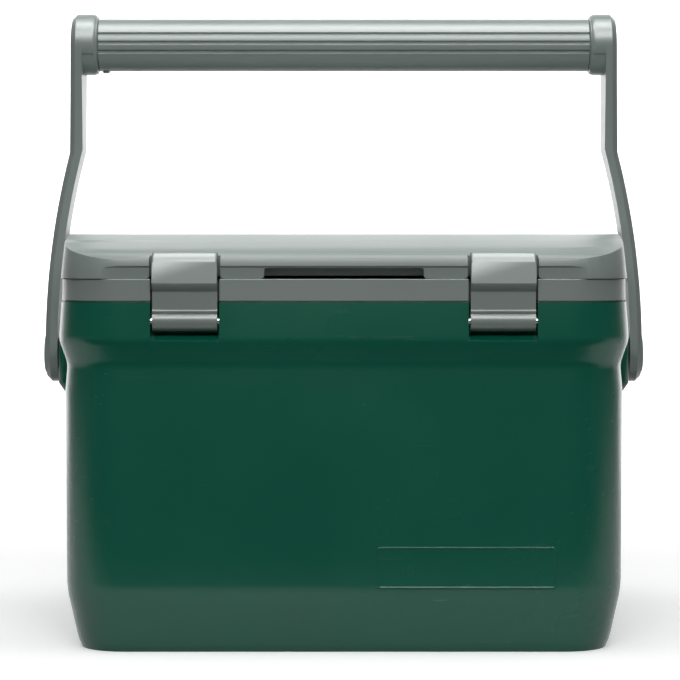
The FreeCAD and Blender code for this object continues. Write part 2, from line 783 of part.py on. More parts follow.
screw_x = "grip_screw_inset - grip_half_length"
screw_low = "grip_height - grip_radius"
screw_body = rod("grip_screw_body", "Z", screw_low, "grip_radius - core_radius", "grip_screw_radius",
                 x=screw_x)
screw_head = rod("grip_screw_head", "Z", screw_low + " - grip_screw_proud", "grip_screw_head_height",
                 "grip_screw_head_radius", x=screw_x)
screw_form = fuse("grip_screw_form", [screw_body, screw_head])
keep(grip_sleeve(screw_form), "grip_sleeve")
keep(cut("grip_screw_seated", screw_form, core_tube_form), "grip_screw")


# ---------------------------------------------------------------- check and write
doc.recompute()
failed = [
    item.Name for item in doc.Objects if "Invalid" in item.State or "Error" in item.State
]
if failed:
    raise RuntimeError("features that did not compute: " + ", ".join(failed))
for item in finished:
    if item.Shape.isNull() or not item.Shape.isValid() or not item.Shape.Solids:
        raise RuntimeError("no valid solid: " + item.Label)

os.makedirs("parts", exist_ok=True)
for item in finished:
    item.Shape.exportStep("parts/%s.step" % item.Label)
    print("%-24s %d solid(s) %9.0f mm3" % (item.Label, len(item.Shape.Solids), item.Shape.Volume))
print(len(finished), "sub-parts")
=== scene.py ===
"""Picnic cooler chest: the looks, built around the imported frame.

Laid out as an add-on: one operator for each piece or group of like pieces, one for the stage.
Everything is in metres in the frame's own axes: +Z up, the front faces -Y.
"""
import json
import math

import bpy
from bpy.props import FloatProperty, FloatVectorProperty, IntProperty, PointerProperty
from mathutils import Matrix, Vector


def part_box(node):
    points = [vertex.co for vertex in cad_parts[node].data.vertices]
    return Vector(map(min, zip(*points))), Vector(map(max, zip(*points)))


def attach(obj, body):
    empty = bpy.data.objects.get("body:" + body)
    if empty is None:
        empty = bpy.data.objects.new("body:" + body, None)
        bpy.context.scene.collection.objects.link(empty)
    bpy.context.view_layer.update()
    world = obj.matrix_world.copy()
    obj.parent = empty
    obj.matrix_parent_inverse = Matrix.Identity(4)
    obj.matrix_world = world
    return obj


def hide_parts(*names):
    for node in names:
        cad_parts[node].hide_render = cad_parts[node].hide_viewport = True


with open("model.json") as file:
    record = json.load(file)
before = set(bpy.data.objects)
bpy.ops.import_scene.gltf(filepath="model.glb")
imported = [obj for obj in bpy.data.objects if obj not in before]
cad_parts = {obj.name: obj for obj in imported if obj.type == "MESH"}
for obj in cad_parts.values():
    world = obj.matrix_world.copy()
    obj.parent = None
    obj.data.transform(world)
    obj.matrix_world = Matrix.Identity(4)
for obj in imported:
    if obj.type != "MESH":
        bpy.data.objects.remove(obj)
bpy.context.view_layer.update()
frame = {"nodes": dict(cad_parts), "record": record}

bl_info = {
    "name": "Picnic cooler chest",
    "version": (1, 0, 0),
    "blender": (4, 5, 0),
    "location": "View3D > Sidebar > Cooler",
    "description": "Models the shells, lid, latches and bail handle of a picnic cooler",
    "category": "Object",
}

MM = 0.001
PLACES = {name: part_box(name) for name in frame["nodes"]}


# ---------------------------------------------------------------- settings
def length(name, description, default):
    return FloatProperty(name=name, description=description, default=default, unit="LENGTH",
                         subtype="DISTANCE", min=0.0, precision=4)


def colour(name, description, default):
    return FloatVectorProperty(name=name, description=description, default=default, size=3,
                               subtype="COLOR", min=0.0, max=1.0)


class ShellSizes(bpy.types.PropertyGroup):
    """Sizes of the green body, its rings given by height and half-width."""
    depth_inset: length("Depth inset", "How much less the half-depth is than the half-width", 48.1 * MM)
    corner_radius: length("Corner radius", "Radius of the collar's corners in plan", 45 * MM)
    foot_half_width: length("Foot", "Half-width of the flat that it stands on", 174 * MM)
    heel_half_width: length("Heel", "Half-width over the rounded heel", 176.7 * MM)
    heel_height: length("Heel height", "Where the heel ends", 6 * MM)
    tub_low_half_width: length("Tub, low", "Half-width above the bottom chamfer", 184.0 * MM)
    tub_low_height: length("Chamfer height", "Where the bottom chamfer ends", 39 * MM)
    tub_high_half_width: length("Tub, high", "Half-width below the waist", 184.6 * MM)
    tub_high_height: length("Tub height", "Where the plain wall ends", 170 * MM)
    waist_half_width: length("Waist", "Half-width at the waist", 183.1 * MM)
    waist_height: length("Waist height", "Height of the waist", 188 * MM)
    collar_half_width: length("Collar", "Half-width at the collar's lower edge", 188.7 * MM)
    collar_low_height: length("Collar height", "Height of the collar's lower edge", 203.6 * MM)
    collar_top_half_width: length("Collar top", "Half-width at the collar's top", 186.9 * MM)
    recess_width: length("Recess width", "Width of a latch recess", 44.7 * MM)
    recess_back: length("Recess back", "Distance of a recess's back from the middle", 126.5 * MM)
    recess_floor_back: length("Recess floor, back", "Height of the recess floor at its back", 209 * MM)
    recess_floor_front: length("Recess floor, front", "Height of the recess floor at its front", 204 * MM)
    crease_radius: length("Crease radius", "Softening of the waist and chamfer creases", 3.2 * MM)
    edge_radius: length("Edge radius", "Rounding of the moulded edges", 0.9 * MM)


class LidSizes(bpy.types.PropertyGroup):
    """Sizes of the crowned lid."""
    crown_radius: length("Crown radius", "Radius of the fall towards the front and back", 700 * MM)
    crown_height: length("Crown height", "Height of the level top", 273.5 * MM)
    crown_flat: length("Crown flat", "Half the depth of the level top", 75 * MM)
    crown_reach: length("Crown reach", "Where the fall is measured, beyond the front edge", 160 * MM)
    crown_edge: length("Crown edge", "Height of the fall at its reach", 249.4 * MM)
    high_half_width: length("Top half-width", "Half-width of the plan just over the crown", 183.8 * MM)
    edge_radius: length("Lip radius", "Rounding of the lid's upper edge", 3.0 * MM)
    scoop_top: length("Scoop top", "Height of the lip's underside", 252.4 * MM)
    scoop_depth: length("Scoop depth", "Depth of the hollow under the lip", 1.5 * MM)
    slot_half_width: length("Slot half-width", "Half the finger slot's width", 51.6 * MM)
    slot_depth: length("Slot depth", "Depth of the finger slot", 12 * MM)
    slot_height: length("Slot height", "Height of the finger slot above the lid's edge", 7 * MM)
    notch_width: length("Notch width", "Width of a latch notch", 45.8 * MM)
    notch_back: length("Notch back", "Distance of the notch's back from the middle", 130 * MM)
    notch_corner: length("Notch corner", "Rounding of the tabs beside the notch and slot", 2.4 * MM)


class HandleSizes(bpy.types.PropertyGroup):
    """Sizes of the bail handle."""
    groove_depth: length("Groove depth", "Depth of the grip's finger grooves", 1.5 * MM)
    groove_width: length("Groove width", "Width of the grip's finger grooves", 2.0 * MM)
    arm_outer_edge: length("Outer bevel", "Broad bevel round the outside of an arm", 4.4 * MM)
    arm_edge: length("Arm rounding", "Small rounding of the arm's other edges", 1.2 * MM)
    collar_edge: length("Collar bevel", "Bevel of the end collars", 4.2 * MM)
    grip_facets: IntProperty(name="Grip facets", description="Sides of the grip's cylinder",
                             default=128, min=48, max=256)


class CoolerColours(bpy.types.PropertyGroup):
    """Colours of the finishes."""
    green: colour("Green shell", "Moulded body colour", (0.0006, 0.1450, 0.0850))
    grey: colour("Grey trim", "Lid, rim, latches and handle", (0.310, 0.362, 0.342))
    liner: colour("Liner", "Inside of the chest", (0.78, 0.80, 0.79))
    steel: colour("Steel", "Pins, bolts and screws", (0.56, 0.57, 0.58))
    brass: colour("Brass", "Threaded inserts", (0.62, 0.44, 0.18))
    foam: colour("Foam", "Insulation in the walls", (0.80, 0.66, 0.38))
    rubber: colour("Rubber", "Lid seal", (0.05, 0.055, 0.053))
    floor: colour("Floor", "Studio floor and sweep", (0.93, 0.93, 0.93))


# ---------------------------------------------------------------- mesh helpers
def settings():
    scene = bpy.context.scene
    return scene.cooler_shell, scene.cooler_lid, scene.cooler_handle, scene.cooler_colours


def activate(piece):
    """Selects one piece alone and makes it the active one."""
    if bpy.context.mode != "OBJECT":
        bpy.ops.object.mode_set(mode="OBJECT")
    bpy.ops.object.select_all(action="DESELECT")
    piece.select_set(True)
    bpy.context.view_layer.objects.active = piece


def settle(piece):
    """Puts a piece's place and size into its mesh."""
    activate(piece)
    bpy.ops.object.transform_apply(location=True, rotation=True, scale=True)
    return piece


def clear_selection():
    if bpy.context.mode != "OBJECT":
        bpy.ops.object.mode_set(mode="OBJECT")
    bpy.ops.object.select_all(action="DESELECT")


def block(name, low, high):
    """A cube primitive between two corners."""
    clear_selection()
    low, high = Vector(low), Vector(high)
    bpy.ops.mesh.primitive_cube_add(size=1, location=(low + high) / 2)
    piece = bpy.context.object
    piece.name = name
    piece.scale = high - low
    return settle(piece)


def round_bar(name, start, end, radius, sides=64):
    """A cylinder primitive between two points."""
    clear_selection()
    start, end = Vector(start), Vector(end)
    along = end - start
    bpy.ops.mesh.primitive_cylinder_add(vertices=sides, radius=radius, depth=along.length,
                                        location=(start + end) / 2,
                                        rotation=along.to_track_quat("Z", "Y").to_euler())
    bpy.context.object.name = name
    return settle(bpy.context.object)


def pick(piece, kind, test):
    """In edit mode, selects the vertices, edges or faces that pass a test of their points."""
    activate(piece)
    bpy.ops.object.mode_set(mode="EDIT")
    bpy.ops.mesh.select_mode(type=kind)
    bpy.ops.mesh.select_all(action="DESELECT")
    bpy.ops.object.mode_set(mode="OBJECT")
    mesh = piece.data
    points = [vertex.co for vertex in mesh.vertices]
    if kind == "VERT":
        for vertex in mesh.vertices:
            vertex.select = bool(test(vertex.co))
    elif kind == "EDGE":
        for edge in mesh.edges:
            edge.select = bool(test(*(points[at] for at in edge.vertices)))
    else:
        for face in mesh.polygons:
            face.select = bool(test(face.center, face.normal))
    bpy.ops.object.mode_set(mode="EDIT")


def finish_edit(piece):
    bpy.ops.object.mode_set(mode="OBJECT")
    return piece


def bevel(piece, test, width, segments=4):
    """Rounds the edges that pass a test of their two ends."""
    pick(piece, "EDGE", test)
    bpy.ops.mesh.bevel(offset=width, segments=segments, affect="EDGES", clamp_overlap=True)
    return finish_edit(piece)


def boolean(piece, cutter, operation="DIFFERENCE"):
    """Joins, cuts or keeps the shared part, and takes the cutter away."""
    activate(piece)
    modifier = piece.modifiers.new("boolean", "BOOLEAN")
    modifier.operation = operation
    modifier.solver = "EXACT"
    modifier.object = cutter
    bpy.ops.object.modifier_apply(modifier=modifier.name)
    bpy.data.objects.remove(cutter, do_unlink=True)
    return piece


def tidy_faces(piece, angle=0.5):
    """Merges doubles and dissolves the flat seams that a boolean leaves."""
    activate(piece)
    bpy.ops.object.mode_set(mode="EDIT")
    bpy.ops.mesh.select_all(action="SELECT")
    bpy.ops.mesh.remove_doubles(threshold=0.02 * MM)
    bpy.ops.mesh.dissolve_limited(angle_limit=math.radians(angle))
    bpy.ops.mesh.normals_make_consistent(inside=False)
    return finish_edit(piece)


def soften(piece, width, segments=3, angle=28):
    """Rounds every sharp edge with a bevel modifier, and shades the piece smooth."""
    activate(piece)
    modifier = piece.modifiers.new("rounding", "BEVEL")
    modifier.width = width
    modifier.segments = segments
    modifier.limit_method = "ANGLE"
    modifier.angle_limit = math.radians(angle)
    modifier.harden_normals = True
    modifier.miter_outer = "MITER_ARC"
    bpy.ops.object.shade_smooth_by_angle(angle=math.radians(40))
    bpy.ops.object.modifier_apply(modifier=modifier.name)
    return piece


def rounded_stack(name, levels, corner_segments=16):
    """A rounded rectangle drawn out upwards through rings of (half-width, height)."""
    shell = settings()[0]
    inset = shell.depth_inset
    half_width, height = levels[0]
    half_depth = half_width - inset
    radius = shell.corner_radius - (shell.collar_half_width - half_width)
    clear_selection()
    bpy.ops.mesh.primitive_plane_add(size=2, location=(0, 0, height))
    piece = bpy.context.object
    piece.name = name
    piece.scale = (half_width, half_depth, 1)
    settle(piece)
    bpy.ops.object.mode_set(mode="EDIT")
    bpy.ops.mesh.select_all(action="SELECT")
    bpy.ops.mesh.bevel(offset=radius, segments=corner_segments, affect="VERTICES", clamp_overlap=False)
    finish_edit(piece)
    across = shell.collar_half_width - shell.corner_radius
    along = across - inset
    for wider, higher in levels[1:]:
        pick(piece, "FACE", lambda centre, normal: abs(normal.z) > 0.9 and abs(centre.z - height) < 0.01 * MM)
        bpy.ops.mesh.extrude_region_move(TRANSFORM_OT_translate={"value": (0, 0, higher - height)})
        finish_edit(piece)
        growth = (radius + wider - half_width) / radius
        for x, y in ((across, along), (-across, along), (-across, -along), (across, -along)):
            pick(piece, "VERT", lambda at: abs(at.z - higher) < 0.01 * MM and at.x * x > 0 and at.y * y > 0)
            bpy.ops.transform.resize(value=(growth, growth, 1), center_override=(x, y, higher))
            finish_edit(piece)
        radius += wider - half_width
        half_width, height = wider, higher
    bpy.ops.object.mode_set(mode="EDIT")
    bpy.ops.mesh.select_all(action="SELECT")
    bpy.ops.mesh.normals_make_consistent(inside=False)
    return finish_edit(piece)


def hollow(piece, height, wall, depth):
    """Sinks a pan into the top face, leaving a wall round it."""
    pick(piece, "FACE", lambda centre, normal: normal.z > 0.9 and abs(centre.z - height) < 0.1 * MM)
    bpy.ops.mesh.inset(thickness=wall)
    bpy.ops.mesh.extrude_region_move(TRANSFORM_OT_translate={"value": (0, 0, -depth)})
    return finish_edit(piece)


def level_edge(height, reach=0.05 * MM):
    """A test for edges that lie level at one height."""
    return lambda a, b: abs(a.z - height) < reach and abs(b.z - height) < reach


# ---------------------------------------------------------------- finishes
def socket_in(group, name, kind, default=None):
    entry = group.interface.new_socket(name=name, in_out="INPUT", socket_type=kind)
    if default is not None:
        entry.default_value = default
    return entry


def moulded_surface():
    """The group shared by the plastics: a fine grain, a slow cloudiness and thin scuffs."""
    if "Moulded surface" in bpy.data.node_groups:
        return bpy.data.node_groups["Moulded surface"]
    group = bpy.data.node_groups.new("Moulded surface", "ShaderNodeTree")
    socket_in(group, "Colour", "NodeSocketColor")
    socket_in(group, "Grain size", "NodeSocketFloat", 1800.0)
    socket_in(group, "Cloud", "NodeSocketFloat", 0.06)
    socket_in(group, "Roughness", "NodeSocketFloat", 0.35)
    socket_in(group, "Scuffs", "NodeSocketFloat", 0.3)
    for name, kind in (("Colour", "NodeSocketColor"), ("Roughness", "NodeSocketFloat"),
                       ("Height", "NodeSocketFloat")):
        group.interface.new_socket(name=name, in_out="OUTPUT", socket_type=kind)
    nodes, links = group.nodes, group.links
    given = nodes.new("NodeGroupInput")
    result = nodes.new("NodeGroupOutput")
    place = nodes.new("ShaderNodeTexCoord")

    grain = nodes.new("ShaderNodeTexNoise")
    grain.inputs["Detail"].default_value = 2.0
    links.new(place.outputs["Object"], grain.inputs["Vector"])
    links.new(given.outputs["Grain size"], grain.inputs["Scale"])

    cloud = nodes.new("ShaderNodeTexNoise")
    cloud.inputs["Scale"].default_value = 9.0
    cloud.inputs["Detail"].default_value = 4.0
    links.new(place.outputs["Object"], cloud.inputs["Vector"])

    stretch = nodes.new("ShaderNodeMapping")
    stretch.inputs["Rotation"].default_value = (0.4, 0.9, 0.3)
    stretch.inputs["Scale"].default_value = (14.0, 260.0, 180.0)
    links.new(place.outputs["Object"], stretch.inputs["Vector"])
    scratch = nodes.new("ShaderNodeTexNoise")
    scratch.inputs["Scale"].default_value = 1.0
    scratch.inputs["Detail"].default_value = 3.0
    links.new(stretch.outputs["Vector"], scratch.inputs["Vector"])
    thin = nodes.new("ShaderNodeMapRange")
    thin.inputs["From Min"].default_value = 0.66
    thin.inputs["From Max"].default_value = 0.74
    links.new(scratch.outputs["Fac"], thin.inputs["Value"])
    marks = nodes.new("ShaderNodeMath")
    marks.operation = "MULTIPLY"
    links.new(thin.outputs["Result"], marks.inputs[0])
    links.new(given.outputs["Scuffs"], marks.inputs[1])

    shade = nodes.new("ShaderNodeMapRange")
    shade.inputs["To Min"].default_value = -1.0
    shade.inputs["To Max"].default_value = 1.0
    links.new(cloud.outputs["Fac"], shade.inputs["Value"])
    amount = nodes.new("ShaderNodeMath")
    amount.operation = "MULTIPLY"
    links.new(shade.outputs["Result"], amount.inputs[0])
    links.new(given.outputs["Cloud"], amount.inputs[1])
    lift = nodes.new("ShaderNodeMath")
    lift.operation = "ADD"
    lift.inputs[1].default_value = 1.0
    links.new(amount.outputs[0], lift.inputs[0])
    tone = nodes.new("ShaderNodeVectorMath")
    tone.operation = "SCALE"
    links.new(given.outputs["Colour"], tone.inputs[0])
    links.new(lift.outputs[0], tone.inputs["Scale"])
    pale = nodes.new("ShaderNodeMix")
    pale.data_type = "RGBA"
    pale.inputs["B"].default_value = (0.45, 0.47, 0.46, 1.0)
    faint = nodes.new("ShaderNodeMath")
    faint.operation = "MULTIPLY"
    faint.inputs[1].default_value = 0.12
    links.new(marks.outputs[0], faint.inputs[0])
    links.new(faint.outputs[0], pale.inputs["Factor"])
    links.new(tone.outputs["Vector"], pale.inputs["A"])
    links.new(pale.outputs["Result"], result.inputs["Colour"])

    dull = nodes.new("ShaderNodeMath")
    dull.operation = "MULTIPLY_ADD"
    dull.inputs[1].default_value = 0.16
    links.new(cloud.outputs["Fac"], dull.inputs[0])
    links.new(given.outputs["Roughness"], dull.inputs[2])
    worn = nodes.new("ShaderNodeMath")
    worn.operation = "MULTIPLY_ADD"
    worn.inputs[1].default_value = 0.25
    links.new(marks.outputs[0], worn.inputs[0])
    links.new(dull.outputs[0], worn.inputs[2])
    links.new(worn.outputs[0], result.inputs["Roughness"])
    links.new(grain.outputs["Fac"], result.inputs["Height"])
    return group


def plastic(name, tint, roughness, grain_height, grain_size=1800.0, cloud=0.06, scuffs=0.3, coat=0.0):
    """A moulded plastic: the shared surface in front of its own shader."""
    if name in bpy.data.materials:
        return bpy.data.materials[name]
    material = bpy.data.materials.new(name)
    material.use_nodes = True
    nodes, links = material.node_tree.nodes, material.node_tree.links
    shader = nodes["Principled BSDF"]
    shader.inputs["IOR"].default_value = 1.49
    shader.inputs["Coat Weight"].default_value = coat
    shader.inputs["Coat Roughness"].default_value = 0.12
    surface = nodes.new("ShaderNodeGroup")
    surface.node_tree = moulded_surface()
    surface.inputs["Colour"].default_value = (*tint, 1.0)
    surface.inputs["Grain size"].default_value = grain_size
    surface.inputs["Cloud"].default_value = cloud
    surface.inputs["Roughness"].default_value = roughness
    surface.inputs["Scuffs"].default_value = scuffs
    bump = nodes.new("ShaderNodeBump")
    bump.inputs["Strength"].default_value = 0.35
    bump.inputs["Distance"].default_value = grain_height
    links.new(surface.outputs["Colour"], shader.inputs["Base Color"])
    links.new(surface.outputs["Roughness"], shader.inputs["Roughness"])
    links.new(surface.outputs["Height"], bump.inputs["Height"])
    links.new(bump.outputs["Normal"], shader.inputs["Normal"])
    return material


def metal(name, tint, roughness):
    """Turned or plated metal, with the fine grain and thin scuffs of the shared surface."""
    material = plastic(name, tint, roughness, 0.004 * MM, 3200.0, 0.05, 0.6)
    material.node_tree.nodes["Principled BSDF"].inputs["Metallic"].default_value = 1.0
    return material


def finish_for(slot):
    """The material of one of the record's slots."""
    colours = settings()[3]
    if slot == "green_shell":
        return plastic("Green moulded shell", colours.green, 0.17, 0.010 * MM, 1500.0, 0.08, 0.10)
    if slot == "grey_plastic":
        return plastic("Sage grey plastic", colours.grey, 0.24, 0.014 * MM, 2200.0, 0.04, 0.12)
    if slot == "white_liner":
        return plastic("White liner", colours.liner, 0.22, 0.010 * MM, 900.0, 0.03, 0.5)
    if slot == "foam":
        return plastic("Foam", colours.foam, 0.75, 0.35 * MM, 420.0, 0.12, 0.0)
    if slot == "seal":
        return plastic("Rubber seal", colours.rubber, 0.55, 0.03 * MM, 1200.0, 0.10, 0.0)
    if slot == "steel":
        return metal("Plated steel", colours.steel, 0.22)
    if slot == "brass":
        return metal("Brass", colours.brass, 0.25)
    return plastic("White nylon", (0.74, 0.74, 0.70), 0.35, 0.02 * MM, 1200.0, 0.05, 0.2)


def dress(piece, slot):
    """Gives a piece the finish of a slot."""
    piece.data.materials.clear()
    piece.data.materials.append(finish_for(slot))
    return piece


def deliver(piece, body, slot, *nodes):
    """Dresses a finished piece, rides it on its body and lets it stand for its frame nodes."""
    dress(piece, slot)
    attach(piece, body)
    if nodes:
        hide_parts(*nodes)
    return piece


# ---------------------------------------------------------------- the chest
def drawn_out(name, axis, half_length, profile):
    """A solid drawn out both ways along X from (y, z) points, or along Y from (x, z) points."""
    clear_selection()
    bpy.ops.mesh.primitive_circle_add(vertices=len(profile), radius=1, fill_type="NGON")
    piece = bpy.context.object
    piece.name = name
    along = Vector((1, 0, 0)) if axis == "X" else Vector((0, 1, 0))
    for vertex, (across, height) in zip(piece.data.vertices, profile):
        flat = Vector((0, across, height)) if axis == "X" else Vector((across, 0, height))
        vertex.co = flat - along * half_length
    activate(piece)
    bpy.ops.object.mode_set(mode="EDIT")
    bpy.ops.mesh.select_all(action="SELECT")
    bpy.ops.mesh.extrude_region_move(TRANSFORM_OT_translate={"value": along * 2 * half_length})
    bpy.ops.mesh.select_all(action="SELECT")
    bpy.ops.mesh.normals_make_consistent(inside=False)
    return finish_edit(piece)


def move_piece(piece, x=0.0, y=0.0, z=0.0):
    piece.location = (x, y, z)
    return settle(piece)


def twin(piece, name):
    """The same piece on the other side of the chest, with its own mesh."""
    activate(piece)
    bpy.ops.object.duplicate(linked=False)
    other = bpy.context.object
    other.name = name
    other.scale.x = -1
    settle(other)
    bpy.ops.object.mode_set(mode="EDIT")
    bpy.ops.mesh.select_all(action="SELECT")
    bpy.ops.mesh.normals_make_consistent(inside=False)
    return finish_edit(other)


def latch_recess(name):
    """The space round one latch, with a floor that falls towards the front."""
    low, high = PLACES[name]
    sizes = bpy.context.scene.cooler_shell
    face = sizes.depth_inset - sizes.collar_half_width
    outside = face - 40 * MM
    back, top = -sizes.recess_back, high[2]
    cutter = drawn_out("recess", "X", sizes.recess_width / 2, [
        (outside, sizes.recess_floor_front), (face, sizes.recess_floor_front),
        (back, sizes.recess_floor_back), (back, top), (outside, top),
    ])
    return move_piece(cutter, x=(low[0] + high[0]) / 2)


class COOLER_OT_shell(bpy.types.Operator):
    """Models the green body with its waist, handle bosses and latch recesses"""
    bl_idname = "cooler.shell"
    bl_label = "Green shell"

    def execute(self, context):
        sizes = context.scene.cooler_shell
        top = PLACES["body_foam"][1][2]
        shell = rounded_stack("green_shell", [
            (sizes.foot_half_width, 0.0),
            (sizes.heel_half_width, sizes.heel_height),
            (sizes.tub_low_half_width, sizes.tub_low_height),
            (sizes.tub_high_half_width, sizes.tub_high_height),
            (sizes.waist_half_width, sizes.waist_height),
            (sizes.collar_half_width, sizes.collar_low_height),
            (sizes.collar_top_half_width, top),
        ])
        creases = [
            (sizes.heel_height, 3.0 * MM), (sizes.tub_low_height, 2 * sizes.crease_radius),
            (sizes.waist_height, sizes.crease_radius), (sizes.collar_low_height, sizes.crease_radius),
        ]
        for height, width in creases:
            bevel(shell, level_edge(height), width, 5)
        hollow(shell, top, 22 * MM, top - 16 * MM)
        for side in (-1, 1):
            boolean(shell, self.boss(side), "UNION")
        for name in ("latch_left", "latch_right"):
            boolean(shell, latch_recess(name))
        tidy_faces(shell)
        front, ledge = sizes.depth_inset - sizes.collar_half_width, sizes.recess_floor_front
        bevel(shell, lambda a, b: abs(a.x - b.x) > 20 * MM and max(a.y, b.y) < front + 2 * MM
              and max(abs(a.z - ledge), abs(b.z - ledge)) < MM, 1.0 * MM, 4)
        soften(shell, sizes.edge_radius, 3, 32)
        deliver(shell, "chest", "green_shell", "outer_shell")
        return {"FINISHED"}

    def boss(self, side):
        """The wedge under a handle hub, drawn in to the wall at its foot and to the collar at its top."""
        sizes = bpy.context.scene.cooler_shell
        washer = PLACES["thrust_washer_right"]
        pivot, face = (washer[0][2] + washer[1][2]) / 2, washer[0][0]
        root = sizes.waist_half_width - 8 * MM
        boss = drawn_out("boss", "Y", 26 * MM, [
            (root, pivot - 40 * MM), (sizes.tub_high_half_width - MM, pivot - 40 * MM),
            (face, pivot - 19.6 * MM), (face, pivot + 11 * MM),
            (sizes.collar_half_width - MM, pivot + 22 * MM), (root, pivot + 22 * MM),
        ])
        bevel(boss, lambda a, b: abs(a.y - b.y) < MM and min(a.x, b.x) > root + MM, 6 * MM, 5)
        if side > 0:
            return boss
        other = twin(boss, "boss_left")
        bpy.data.objects.remove(boss, do_unlink=True)
        return other



class COOLER_OT_rim(bpy.types.Operator):
    """Models the grey rim band between the body and the lid"""
    bl_idname = "cooler.rim"
    bl_label = "Rim band"

    def execute(self, context):
        sizes = context.scene.cooler_shell
        low, high = PLACES["rim_band"]
        foot, top = high[0] - 1.3 * MM, high[0] - 0.3 * MM
        tongue = high[0] - 1.3 * MM
        band = rounded_stack("rim_band_visible", [
            (foot, low[2]), (foot, low[2] + 0.9 * MM), (high[0], low[2] + 0.95 * MM), (top, high[2]),
            (tongue, high[2] + 0.01 * MM), (tongue, high[2] + 1.0 * MM),
        ])
        wall = tongue - PLACES["inner_liner"][1][0]
        pick(band, "FACE", lambda centre, normal: abs(normal.z) > 0.9 and abs(centre.x) < MM
             and abs(centre.y) < MM)
        bpy.ops.mesh.inset(thickness=wall)
        bpy.ops.mesh.bridge_edge_loops()
        finish_edit(band)
        for name in ("latch_left", "latch_right"):
            boolean(band, latch_recess(name))
        tidy_faces(band)
        soften(band, 0.8 * MM, 3, 30)
        deliver(band, "chest", "grey_plastic", "rim_band")
        return {"FINISHED"}


